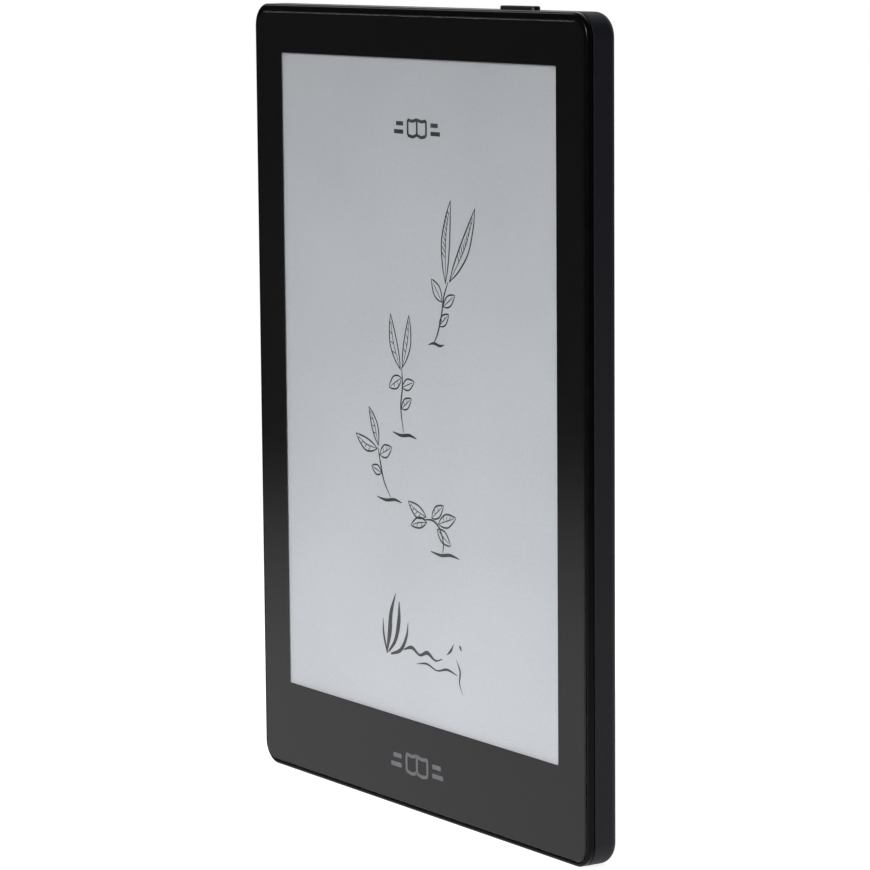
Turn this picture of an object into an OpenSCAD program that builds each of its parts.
// Six-inch e-reader, 4:3 e-paper screen under a flush black-bordered lens.
// It stands upright: +X is to the right seen from the front, the front faces -Y and +Z is up.
// The origin is on the bottom edge, at mid width and mid thickness. Millimetres.
// Depths are counted from the front of the lens towards the back.

/* [Body] */
// Width of the body
body_w = 109.6; // [109.6:0.2:116]
// Height of the body, without the power button
body_h = 148.8; // [148.8:0.2:156]
// Thickness of the body
body_t = 6.8; // [6.8:0.1:8]
// Corner radius of the body, seen from the front
corner_r = 4.3; // [3.8:0.1:6]
// Radius round the edge of the back
back_edge_r = 2; // [1.2:0.1:2.4]
// Wall of the rear cover
wall = 1; // [0.8:0.1:1]
// Gap of the seam between the front frame and the rear cover
seam_gap = 0.3; // [0.1:0.05:0.3]

/* [Lens] */
// Width of the cover lens
lens_w = 107.8; // [104:0.1:107.9]
// Height of the cover lens
lens_h = 146.5; // [143:0.1:146.6]
// How far the middle of the lens is below the middle of the body
lens_drop = 0.25; // [0:0.05:0.3]
// Corner radius of the cover lens
lens_r = 3.1; // [2:0.1:4]
// Thickness of the cover lens
lens_t = 0.75; // [0.5:0.05:0.8]
// Polished chamfer round the lens
lens_chamfer = 0.2; // [0.05:0.05:0.3]
// Gap between the lens and the rim of the front frame
lens_gap = 0.25; // [0.1:0.05:0.3]

/* [Screen] */
// Width of the visible screen
screen_w = 90.6; // [84:0.2:91]
// Height of the visible screen
screen_h = 122.4; // [112:0.2:123]
// How far the middle of the screen is above the middle of the body
screen_rise = 4; // [3.5:0.05:4.5]

/* [Power button] */
// Distance of the button's middle to the right of the body's middle
button_x = 30.25; // [20:0.25:34]
// Length of the button
button_l = 10.9; // [8:0.1:12]
// Width of the button across the edge
button_w = 1.8; // [1.2:0.1:1.9]
// How far the button stands out of the top edge
button_proud = 0.7; // [0.3:0.1:0.8]
// How far the button travels when it is pressed
button_travel = 0.3; // [0.15:0.05:0.3]

/* [Battery] */
// Width of the battery cell
battery_w = 60; // [40:1:64]
// Height of the battery cell
battery_h = 84; // [60:1:86]
// Thickness of the battery cell
battery_t = 2.2; // [1.6:0.1:2.4]

/* [Hidden] */
$fn = 64;
eps = 0.01;

// Depths of the layers, from the front of the lens
rim_d = 0.2;
print_d = lens_t;
print_t = 0.05;
stack_d = print_d + print_t;
tape_t = 0.15;
ledge_d = stack_d + tape_t;
flex_t = 0.1;
sensor_t = 0.2;
guide_d = stack_d + sensor_t;
guide_t = 0.5;
film_d = guide_d + guide_t;
film_t = 0.3;
glass_d = film_d + film_t;
glass_t = 0.5;
foam_d = glass_d + glass_t;
seam_d = 1.2;
chassis_d = 2.6;
chassis_t = 0.6;
bay_d = chassis_d + chassis_t;
tongue_d = 3.4;
board_d = 3.6;
board_t = 0.8;
parts_d = board_d + board_t;
back_d = body_t - wall;

// Front frame and chassis, seen from the front
fit_gap = 0.1;
tongue_w = body_w - 2 * (wall + fit_gap);
tongue_h = body_h - 2 * (wall + fit_gap);
tongue_r = corner_r - wall - fit_gap;
tongue_t = 0.8;
recess_w = tongue_w - 2 * tongue_t;
recess_h = tongue_h - 2 * tongue_t;
recess_r = tongue_r - tongue_t;
rim_round = 0.5;
mid_z = body_h / 2;
top_z = body_h;
lens_z = mid_z - lens_drop;
screen_z = mid_z + screen_rise;
screen_low = screen_z - screen_h / 2;
screen_top = screen_z + screen_h / 2;
opening_w = screen_w + 5.8;
opening_low = screen_low - 8.2;
opening_top = screen_top + 2.8;
opening_h = opening_top - opening_low;
opening_z = (opening_low + opening_top) / 2;

// Screen layers: how far each reaches past the visible screen
print_inset = 0.15;
sensor_over = 1.7;
guide_over = 1.5;
film_over = 1;
glass_over = 2;
glass_low = screen_low - 7.2;
driver_z = glass_low + 2.4;

// Lamps below the light guide
led_count = 12;
led_l = 2.6;
led_h = 1.3;
strip_h = 2.6;

// Flex cables: where each runs from left to right, and its socket on the board
touch_tail_x = [-34, -24];
guide_tail_x = [-17, -11];
display_tail_x = [13, 35];
switch_tail_x = [38, 43];
tail_slot_h = 1;
tail_low = opening_low + 0.3;
socket_z = 13.4;
switch_socket_z = 31;
socket_l = 3;
socket_t = 1;

// Snap hooks: middle of each, and their size
hook_l = 6;
hook_out = 0.35;
hook_d = [2.7, 3.2];
hook_room = 0.1;
side_hooks_z = [24, 57, 90, 123];
top_hooks_x = [-38, -16, 6];
bottom_hooks_x = [-38, -20, 20, 38];

// Screws, inserts and stand-offs
screw_r = 0.7;
thread_r = 0.75;
head_r = 1.4;
head_t = 0.6;
socket_r = 0.5;
insert_r = 1.15;
insert_d = 1.3;
chassis_screw_x = body_w / 2 - 3.9;
chassis_screws_z = [16, 54, 92, 132];
board_screw_r = 0.55;
board_thread_r = 0.6;
board_head_r = 1.2;
standoff_r = 2;
board_screws_at = [[-45, 14], [45, 14], [-28.6, 35], [45.5, 26]];

// Main board
board_w = 97;
board_low = 10.5;
board_top = 38;
board_tab_w = 18;
board_tab_low = 2.6;

// Battery, its protection circuit and its plug
battery_low = 48;
battery_d = bay_d + flex_t;
circuit_h = 3.4;
circuit_t = 1.2;
lead_r = 0.4;
lead_pitch = 1.25;
lead_x = 12;
header_w = 5.6;
header_h = 1.6;
plug_w = 4.8;
plug_h = 0.6;
plug_t = 1.1;
plug_low = board_top + header_h;
plug_top = plug_low + plug_h;

// Antenna film, from left to right and from bottom to top
antenna_x = [-48.5, -40];
antenna_z = [62, 90];
antenna_t = 0.15;

// USB-C receptacle
usb_w = 8.94;
usb_h = 3.16;
usb_wall = 0.3;
usb_d = 4.2;
usb_mouth = 0.2;
usb_l = 7.3;
usb_slack = 0.12;
usb_pitch = 0.5;
usb_tongue_t = 0.7;

// Power button, its switch and its light
button_d = 3.45;
slot_gap = 0.12;
button_top = top_z + button_proud;
cap_low = top_z - wall - 0.5;
neck_w = button_w - 0.3;
flange_top = mid_z + recess_h / 2 - 0.1;
flange_t = 0.6;
flange_over = 1.2;
nub_w = 0.7;
nub_l = 2.4;
pipe_x = button_x + 4.05;
pipe_l = 1.5;
pipe_w = 0.9;
pipe_gap = 0.05;
switch_w = 4.7;
switch_t = 1.4;
switch_h = 2.2;
switch_top = flange_top - 3;
pad_low = switch_top - switch_h - 1.2;
pad_x = [button_x - 6.5, button_x + 6.5];
pad_d = chassis_d;
pad_t = 0.15;
switch_d = pad_d + pad_t;
plunger_l = 1.6;
plunger_w = 0.7;
plunger_out = 0.7;
plunger_room = 0.12;
press_gap = 0.05;
led_size = [1.6, 1.3, 0.8];

// ---- Helpers ----

// Puts a front view into place: its X is +X, its Y is +Z, and its Z is minus the depth
module from_front() {
    translate([0, -body_t / 2, 0]) rotate([90, 0, 0]) children();
}

// Extrudes a front-view outline from depth d0 to depth d1
module plate(d0, d1) {
    from_front() translate([0, 0, -d1]) linear_extrude(d1 - d0) children();
}

// Box from [x, depth, z] to [x, depth, z]
module block(low, high) {
    translate([low[0], low[1] - body_t / 2, low[2]]) cube(high - low);
}

// Round bar that runs backwards from depth d0 to depth d1
module post(x, z, r, d0, d1) {
    from_front() translate([x, z, -d1]) cylinder(r = r, h = d1 - d0);
}

// Rectangle with round corners, about its middle
module rounded(w, h, r) {
    square([w - 2 * r, h], center = true);
    square([w, h - 2 * r], center = true);
    for (sx = [-1, 1], sy = [-1, 1])
        translate([sx * (w / 2 - r), sy * (h / 2 - r)]) circle(r);
}

// Slab with round corners from depth d0 to d1. Its edge is the child outline, drawn
// outwards from the corner's centre and forwards from depth d1.
module slab(w, h, r, d0, d1) {
    from_front() translate([0, mid_z, -d1]) {
        linear_extrude(d1 - d0) square([w - 2 * r, h - 2 * r], center = true);
        for (i = [0:3]) {
            out = (i % 2 == 0 ? w : h) / 2 - r;
            run = (i % 2 == 0 ? h : w) - 2 * r;
            rotate(90 * i) translate([out, run / 2, 0]) {
                rotate([90, 0, 0]) linear_extrude(run) children();
                rotate_extrude(angle = 90) children();
            }
        }
    }
}

// Edge outline with a quarter round at the back and a small chamfer at the front
module back_round_edge(r, t, f, c) {
    polygon([[0, 0], [r - f, 0], [r - f, f], [r, f], [r, t - c], [r - c, t], [0, t]]);
    translate([r - f, f]) intersection() {
        circle(f);
        translate([0, -f]) square(f);
    }
}

// Edge outline with a quarter round at the front
module front_round_edge(r, t, f) {
    polygon([[0, 0], [r, 0], [r, t - f], [r - f, t - f], [r - f, t], [0, t]]);
    translate([r - f, t - f]) intersection() {
        circle(f);
        square(f);
    }
}

// Edge outline with a chamfer at the front
module chamfered_edge(r, t, c) {
    polygon([[0, 0], [r, 0], [r, t - c], [r - c, t], [0, t]]);
}

// Flex cable that leaves the screen at depth d, goes back past the board's lower edge
// and lies on the back of the board as far as its socket
module tail(x0, x1, d, z_from) {
    block([x0, d, tail_low], [x1, d + flex_t, z_from]);
    block([x0, d, tail_low], [x1, parts_d + flex_t, tail_low + flex_t]);
    block([x0, parts_d, tail_low], [x1, parts_d + flex_t, socket_z]);
}

// Pan-head screw that runs forwards from depth d
module screw(x, z, r, head, d, l) {
    difference() {
        union() {
            post(x, z, head, d, d + head_t);
            post(x, z, r, d - l, d + eps);
        }
        from_front() translate([x, z, -d - head_t - eps])
            cylinder(r = socket_r, h = head_t * 0.6, $fn = 6);
    }
}

// Sheet-metal can over the board, open towards it
module shield(x0, z0, x1, z1, h) {
    t = 0.2;
    difference() {
        block([x0, parts_d, z0], [x1, parts_d + h, z1]);
        block([x0 + t, parts_d - eps, z0 + t], [x1 - t, parts_d + h - t, z1 - t]);
    }
}

// ---- Front: lens, screen and lighting ----

module cover_lens() {
    color([0.75, 0.8, 0.85, 0.3])
        translate([0, 0, -lens_drop])
            slab(lens_w, lens_h, lens_r, 0, lens_t) chamfered_edge(lens_r, lens_t, lens_chamfer);
}

// Black ink printed on the back of the lens, with the window left clear
module border_print() {
    color("#101012") plate(print_d, print_d + print_t) difference() {
        translate([0, lens_z])
            rounded(lens_w - 2 * print_inset, lens_h - 2 * print_inset, lens_r - print_inset);
        translate([0, screen_z]) rounded(screen_w, screen_h, 0.3);
    }
}

// Double-sided tape that holds the lens on the ledge of the front frame
module lens_tape() {
    color("#1c1c1e") plate(stack_d, ledge_d) difference() {
        translate([0, lens_z]) rounded(lens_w - 0.8, lens_h - 0.8, lens_r - 0.4);
        translate([0, opening_z]) rounded(opening_w, opening_h, 0.5);
    }
}

module touch_sensor() {
    color([0.8, 0.85, 0.9, 0.3]) plate(stack_d, guide_d)
        translate([0, screen_z]) square([screen_w, screen_h] + 2 * sensor_over * [1, 1], center = true);
}

module touch_flex() {
    color("#8a5a1e") tail(touch_tail_x[0], touch_tail_x[1], stack_d, screen_low - sensor_over);
}

module light_guide() {
    color([0.85, 0.9, 0.95, 0.3]) plate(guide_d, film_d)
        translate([0, screen_z]) square([screen_w, screen_h] + 2 * guide_over * [1, 1], center = true);
}

module guide_leds() {
    z1 = screen_low - guide_over - 0.05;
    pitch = screen_w / led_count;
    color("#e8e4c8") for (i = [0:led_count - 1]) {
        x = (i - (led_count - 1) / 2) * pitch;
        block([x - led_l / 2, guide_d, z1 - led_h], [x + led_l / 2, film_d, z1]);
    }
}

// Flex strip that feeds the row of lamps, with its tail to the board
module guide_flex() {
    d = guide_d - flex_t;
    z1 = screen_low - sensor_over - 0.1;
    color("#9a6a2a") {
        block([-screen_w / 2, d, z1 - strip_h], [screen_w / 2, d + flex_t, z1]);
        tail(guide_tail_x[0], guide_tail_x[1], d, z1 - strip_h + eps);
    }
}

module epaper_film() {
    color("#cfd3d6") plate(film_d, glass_d)
        translate([0, screen_z]) square([screen_w, screen_h] + 2 * film_over * [1, 1], center = true);
}

// Glass behind the e-paper film. It is longer at the bottom, where the driver sits.
module backplane_glass() {
    color("#7f8f88") block(
        [-screen_w / 2 - glass_over, glass_d, glass_low],
        [screen_w / 2 + glass_over, foam_d, screen_top + glass_over - 0.4]
    );
}

module display_driver() {
    color("#202226") block([-11, film_d, driver_z], [11, glass_d, driver_z + 1.4]);
}

module display_flex() {
    color("#8a5a1e")
        tail(display_tail_x[0], display_tail_x[1], glass_d - flex_t, glass_low + 1.8);
}

module display_foam() {
    color("#2a2a2c") plate(foam_d, chassis_d) translate([0, screen_z])
        square([screen_w + 2 * glass_over - 1, screen_h], center = true);
}

// ---- Front frame and chassis ----

// Openings in the rim and the rear cover for the power button and the USB receptacle
module button_slot(gap) {
    l = button_l + 2 * gap;
    w = button_w + 2 * gap;
    z0 = mid_z + recess_h / 2 - eps;
    translate([button_x, button_d - body_t / 2, z0]) linear_extrude(5) rounded_bar(l, w);
}

module rounded_bar(l, w) {
    square([l - w, w], center = true);
    for (s = [-1, 1]) translate([s * (l - w) / 2, 0]) circle(w / 2);
}

module usb_bar(grow, z0, z1) {
    translate([0, usb_d - body_t / 2, z0]) linear_extrude(z1 - z0)
        rounded_bar(usb_w + 2 * grow, usb_h + 2 * grow);
}

// Snap hooks round the tongue. Grown by a clearance, they are also the pockets for them.
module hooks(grow) {
    d0 = hook_d[0] - grow;
    d1 = hook_d[1] + grow;
    l = hook_l / 2 + grow;
    x1 = tongue_w / 2 + hook_out + grow;
    z_low = mid_z - tongue_h / 2 - hook_out - grow;
    z_high = mid_z + tongue_h / 2 + hook_out + grow;
    root = 0.3;
    for (z = side_hooks_z) {
        block([-x1, d0, z - l], [-tongue_w / 2 + root, d1, z + l]);
        block([tongue_w / 2 - root, d0, z - l], [x1, d1, z + l]);
    }
    for (x = top_hooks_x) block([x - l, d0, z_high - hook_out - grow - root], [x + l, d1, z_high]);
    for (x = bottom_hooks_x) block([x - l, d0, z_low], [x + l, d1, z_low + hook_out + grow + root]);
}

module front_frame() {
    t = seam_d - rim_d;
    color("#0c0c0e") difference() {
        union() {
            slab(body_w, body_h, corner_r, rim_d, seam_d) front_round_edge(corner_r, t, rim_round);
            plate(seam_d - eps, tongue_d) translate([0, mid_z]) rounded(tongue_w, tongue_h, tongue_r);
            hooks(0);
        }
        plate(rim_d - 1, ledge_d) translate([0, lens_z])
            rounded(lens_w + 2 * lens_gap, lens_h + 2 * lens_gap, lens_r + lens_gap);
        plate(0, tongue_d) translate([0, opening_z]) rounded(opening_w, opening_h, 0.5);
        plate(chassis_d, tongue_d + eps) translate([0, mid_z]) rounded(recess_w, recess_h, recess_r);
        at_chassis_screws() post(0, 0, insert_r, insert_d, chassis_d + eps);
        button_slot(slot_gap);
        usb_bar(usb_slack, -eps, 8);
    }
}

// The eight places where the chassis is screwed to the front frame
module at_chassis_screws() {
    for (s = [-1, 1], z = chassis_screws_z) translate([s * chassis_screw_x, 0, z]) children();
}

module screw_inserts() {
    color("#b58b3a") at_chassis_screws() difference() {
        post(0, 0, insert_r, insert_d, chassis_d);
        post(0, 0, thread_r, insert_d - eps, chassis_d + eps);
    }
}

// Pressed metal plate that carries the screen in front and the electronics behind
module chassis() {
    play = 0.1;
    rib_h = 0.4;
    color("#8e9196") difference() {
        union() {
            plate(chassis_d, bay_d) translate([0, mid_z])
                rounded(recess_w - 2 * play, recess_h - 2 * play, recess_r - play);
            for (p = board_screws_at) post(p[0], p[1], standoff_r, bay_d - eps, board_d);
            for (z = [104:6:134]) block([-48, bay_d - eps, z], [-37, bay_d + rib_h, z + 1.5]);
        }
        at_chassis_screws() post(0, 0, screw_r + 0.15, chassis_d - eps, bay_d + eps);
        for (p = board_screws_at) post(p[0], p[1], board_thread_r, chassis_d - eps, board_d + eps);
        for (x = [touch_tail_x, guide_tail_x, display_tail_x])
            block(
                [x[0] - 0.5, chassis_d - eps, opening_low],
                [x[1] + 0.5, bay_d + eps, opening_low + tail_slot_h]
            );
        block(
            [-usb_w / 2 - 0.3, chassis_d - eps, 0],
            [usb_w / 2 + 0.3, bay_d + eps, usb_mouth + usb_l + 0.4]
        );
        block([button_x - 7.6, chassis_d - eps, pad_low], [button_x + 7.6, bay_d + eps, top_z]);
    }
}

module chassis_screws() {
    color("#3a3b3e") for (s = [-1, 1], z = chassis_screws_z)
        screw(s * chassis_screw_x, z, screw_r, head_r, bay_d, 1.7);
}

// ---- Main board ----

module main_board() {
    notch_w = usb_w + 0.3;
    color("#12402c") plate(board_d, parts_d) difference() {
        union() {
            translate([-board_w / 2, board_low]) square([board_w, board_top - board_low]);
            translate([-board_tab_w / 2, board_tab_low])
                square([board_tab_w, board_low - board_tab_low + eps]);
        }
        translate([-notch_w / 2, 0]) square([notch_w, usb_l + usb_mouth + 0.15]);
        for (p = board_screws_at) translate(p) circle(board_screw_r + 0.15);
    }
}

module board_screws() {
    color("#3a3b3e") for (p = board_screws_at)
        screw(p[0], p[1], board_screw_r, board_head_r, parts_d, 1.6);
}

// Chip that lies on the back of the board
module chip(x, z, w, h, t) {
    block([x - w / 2, parts_d, z - h / 2], [x + w / 2, parts_d + t, z + h / 2]);
}

module processor() {
    color("#232529") chip(-17.5, 27, 12, 12, 0.8);
}

module memory_chip() {
    color("#26282c") chip(-4.5, 29.5, 10, 9, 0.75);
}

module storage_chip() {
    color("#2a2b30") chip(12, 24, 11.5, 13, 0.9);
}

module processor_shield() {
    color("#a9acb0") shield(-25, 19.5, 1.5, 35.5, 1.15);
}

module radio_module() {
    color("#2c2e33") chip(-39, 26, 8, 8, 0.7);
}

module radio_shield() {
    color("#a9acb0") shield(-45, 20, -33, 32, 1.1);
}

module power_chip() {
    color("#232529") chip(25, 26, 5, 5, 0.6);
}

// Rows of capacitors and coils that stand on the board
module board_parts() {
    color("#8b6f4e") {
        for (i = [0:6]) chip(21 + i * 1.8, 21, 0.8, 1.4, 0.6);
        for (i = [0:4]) chip(33.5, 23 + i * 2, 1.4, 0.8, 0.6);
        for (i = [0:5]) chip(4.2 + i * 1.8, 34.5, 0.8, 1.4, 0.55);
        for (i = [0:2]) chip(22.5 + i * 3.6, 32, 2.8, 2.8, 1.1);
        for (i = [0:3]) chip(-29.5, 21 + i * 2.4, 1.4, 0.8, 0.5);
    }
}

// Magnetic sensor that notices a closed sleep cover
module sleep_sensor() {
    color("#1d1e21") chip(40, 20.5, 2.9, 1.6, 1);
}

// Sockets for the flex cables of the screen, the touch sensor, the lamps and the switch
module flex_sockets() {
    color("#e4e0d4") {
        for (x = [touch_tail_x, guide_tail_x, display_tail_x])
            block([x[0] - 0.8, parts_d, socket_z], [x[1] + 0.8, parts_d + socket_t, socket_z + socket_l]);
        block(
            [switch_tail_x[0] - 0.8, parts_d, switch_socket_z],
            [switch_tail_x[1] + 0.8, parts_d + socket_t, switch_socket_z + socket_l]
        );
    }
}

// ---- Battery ----

module battery_pack() {
    r = 0.7;
    color("#b9bcc0") from_front() translate([0, battery_low + battery_h / 2, -battery_d - battery_t])
        linear_extrude(battery_t) rounded(battery_w, battery_h, r);
}

module battery_tape() {
    strip = 12;
    color("#e9e6da") for (s = [-1, 1])
        block(
            [s * 18 - strip / 2, bay_d, battery_low + 4],
            [s * 18 + strip / 2, battery_d, battery_low + battery_h - 4]
        );
}

// Protection circuit on the cell's folded edge
module battery_circuit() {
    color("#1d5a3a") block(
        [-22, battery_d, battery_low - circuit_h],
        [22, battery_d + circuit_t, battery_low]
    );
}

// Three leads from the circuit down to the plug
module battery_leads() {
    d = battery_d + circuit_t / 2;
    for (i = [-1:1])
        color(i < 0 ? "#1a1a1a" : i > 0 ? "#b02020" : "#d8d8d0")
            translate([lead_x + i * lead_pitch, d - body_t / 2, plug_top])
                cylinder(r = lead_r, h = battery_low - circuit_h - plug_top);
}

module battery_plug() {
    color("#e6e2d6") block(
        [lead_x - plug_w / 2, battery_d, plug_low],
        [lead_x + plug_w / 2, battery_d + plug_t, plug_top]
    );
}

// Header on the upper edge of the board that the battery plug slides onto
module battery_socket() {
    color("#d9d4c6") {
        block([lead_x - header_w / 2, battery_d, board_top], [lead_x + header_w / 2, parts_d + 1, plug_low]);
        block(
            [lead_x - header_w / 2, parts_d, board_top - 2],
            [lead_x + header_w / 2, parts_d + 1, board_top + eps]
        );
    }
}

// ---- Antenna ----

module antenna() {
    color("#c77f3a") block(
        [antenna_x[0], bay_d, antenna_z[0]],
        [antenna_x[1], bay_d + antenna_t, antenna_z[1]]
    );
}

// Thin coaxial lead from the radio's corner of the board up to the antenna
module antenna_lead() {
    r = 0.4;
    z0 = board_top;
    color("#2b2b2d") translate([-45, bay_d + antenna_t + r - body_t / 2, z0])
        cylinder(r = r, h = antenna_z[0] + 2 - z0);
}

// ---- USB receptacle ----

module usb_shell() {
    color("#b7babd") difference() {
        usb_bar(0, usb_mouth, usb_mouth + usb_l);
        usb_bar(-usb_wall, usb_mouth - eps, usb_mouth + usb_l - usb_wall);
    }
}

module usb_tongue() {
    base_low = usb_mouth + 5.4;
    d = usb_d - usb_tongue_t / 2;
    color("#1b1b1d") {
        block([-3.3, d, usb_mouth + 0.9], [3.3, d + usb_tongue_t, base_low + eps]);
        usb_bar(-usb_wall, base_low, usb_mouth + usb_l - usb_wall);
    }
}

// Twelve contacts on each face of the tongue
module usb_contacts() {
    t = 0.06;
    z0 = usb_mouth + 1.3;
    z1 = usb_mouth + 5.4;
    color("#c9a24a") for (i = [0:11]) {
        x = (i - 5.5) * usb_pitch;
        d_front = usb_d - usb_tongue_t / 2 - t;
        d_back = usb_d + usb_tongue_t / 2;
        block([x - 0.13, d_front, z0], [x + 0.13, d_front + t, z1]);
        block([x - 0.13, d_back, z0], [x + 0.13, d_back + t, z1]);
    }
}

// ---- Power button ----

// Flex that runs up beside the battery and widens into the pad under the switch
module switch_flex() {
    run_z = pad_low - 3;
    step_z = pad_low + 0.3;
    fold_z = board_top + 1;
    d = bay_d;
    color("#9a6a2a") {
        block([switch_tail_x[0], d, fold_z], [switch_tail_x[1], d + flex_t, run_z]);
        block([switch_tail_x[0], d, fold_z], [switch_tail_x[1], parts_d + flex_t, fold_z + flex_t]);
        block(
            [switch_tail_x[0], parts_d, switch_socket_z + socket_l],
            [switch_tail_x[1], parts_d + flex_t, fold_z + flex_t]
        );
        block([pad_x[0], d, run_z - 5], [switch_tail_x[1], d + flex_t, run_z]);
        block([pad_x[0], d, run_z - eps], [pad_x[1], d + flex_t, step_z + flex_t]);
        block([pad_x[0], pad_d, step_z], [pad_x[1], d + flex_t, step_z + flex_t]);
        block([pad_x[0], pad_d, step_z], [pad_x[1], pad_d + pad_t, flange_top - flange_t - 0.6]);
    }
}

module power_switch() {
    d1 = switch_d + switch_t;
    room = plunger_room;
    color("#c4c6c8") difference() {
        block(
            [button_x - switch_w / 2, switch_d, switch_top - switch_h],
            [button_x + switch_w / 2, d1, switch_top]
        );
        block(
            [button_x - plunger_l / 2 - room, button_d - plunger_w / 2 - room, switch_top - 1.2],
            [button_x + plunger_l / 2 + room, button_d + plunger_w / 2 + room, switch_top + eps]
        );
    }
}

module switch_plunger() {
    color("#1c1c1e") block(
        [button_x - plunger_l / 2, button_d - plunger_w / 2, switch_top - 0.7],
        [button_x + plunger_l / 2, button_d + plunger_w / 2, switch_top + plunger_out]
    );
}

module status_led() {
    z1 = flange_top - flange_t - button_travel - 0.4;
    color("#eef0e4") block(
        [pipe_x - led_size[0] / 2, switch_d, z1 - led_size[1]],
        [pipe_x + led_size[0] / 2, switch_d + led_size[2], z1]
    );
}

// Button cap with a flange that keeps it in and a nub that presses the switch
module power_button() {
    nub_low = switch_top + plunger_out + press_gap;
    neck_l = button_l - 0.4;
    color("#1a1a1c") difference() {
        union() {
            at_button(cap_low) button_cap();
            at_button(flange_top - eps) linear_extrude(cap_low - flange_top + 2 * eps)
                rounded_bar(neck_l, neck_w);
            at_button(flange_top - flange_t) linear_extrude(flange_t)
                square([button_l + 2 * flange_over, neck_w], center = true);
            at_button(nub_low) linear_extrude(flange_top - flange_t - nub_low + eps)
                square([nub_l, nub_w], center = true);
        }
        translate([pipe_x, button_d - body_t / 2, 0]) linear_extrude(button_top + 1)
            square([pipe_l, pipe_w] + 2 * pipe_gap * [1, 1], center = true);
    }
}

module at_button(z) {
    translate([button_x, button_d - body_t / 2, z]) children();
}

// Outer part of the cap, with a chamfer round its top
module button_cap() {
    c = 0.2;
    h = button_top - cap_low;
    l = button_l - button_w;
    r = button_w / 2;
    linear_extrude(h - c) rounded_bar(button_l, button_w);
    translate([-l / 2, 0, h - c - eps]) rotate([90, 0, 90]) linear_extrude(l)
        polygon([[-r, 0], [r, 0], [r, eps], [r - c, c + eps], [c - r, c + eps], [-r, eps]]);
    for (s = [-1, 1]) translate([s * l / 2, 0, h - c]) cylinder(r1 = r, r2 = r - c, h = c);
}

// Clear bar that carries the status light to the top of the button
module button_light_pipe() {
    z0 = flange_top - flange_t;
    color([0.9, 0.92, 0.95, 0.6]) translate([pipe_x, button_d - body_t / 2, z0])
        linear_extrude(button_top - z0) square([pipe_l, pipe_w], center = true);
}

// ---- Rear cover ----

module rear_cover() {
    d0 = seam_d + seam_gap;
    inner_r = corner_r - wall;
    inner_f = back_edge_r - wall;
    front = 1;
    rib_x = battery_w / 2 + 3;
    rib_t = 1;
    color("#26262a") {
        difference() {
            slab(body_w, body_h, corner_r, d0, body_t)
                back_round_edge(corner_r, body_t - d0, back_edge_r, 0.12);
            slab(body_w - 2 * wall, body_h - 2 * wall, inner_r, d0 - front, back_d)
                back_round_edge(inner_r, back_d - d0 + front, inner_f, 0.1);
            hooks(hook_room);
            button_slot(slot_gap);
            usb_bar(usb_slack, -eps, 3);
        }
        for (s = [-1, 1]) block(
            [s * rib_x - rib_t / 2, bay_d + 0.3, 54],
            [s * rib_x + rib_t / 2, back_d + eps, 120]
        );
        block([-30, bay_d + 0.3, 136], [18, back_d + eps, 137]);
    }
}

cover_lens();
border_print();
lens_tape();
touch_sensor();
touch_flex();
light_guide();
guide_leds();
guide_flex();
epaper_film();
backplane_glass();
display_driver();
display_flex();
display_foam();
front_frame();
screw_inserts();
chassis();
chassis_screws();
main_board();
board_screws();
processor();
memory_chip();
storage_chip();
processor_shield();
radio_module();
radio_shield();
power_chip();
board_parts();
sleep_sensor();
flex_sockets();
battery_pack();
battery_tape();
battery_circuit();
battery_leads();
battery_plug();
battery_socket();
antenna();
antenna_lead();
usb_shell();
usb_tongue();
usb_contacts();
switch_flex();
power_switch();
switch_plunger();
status_led();
power_button();
button_light_pipe();
rear_cover();
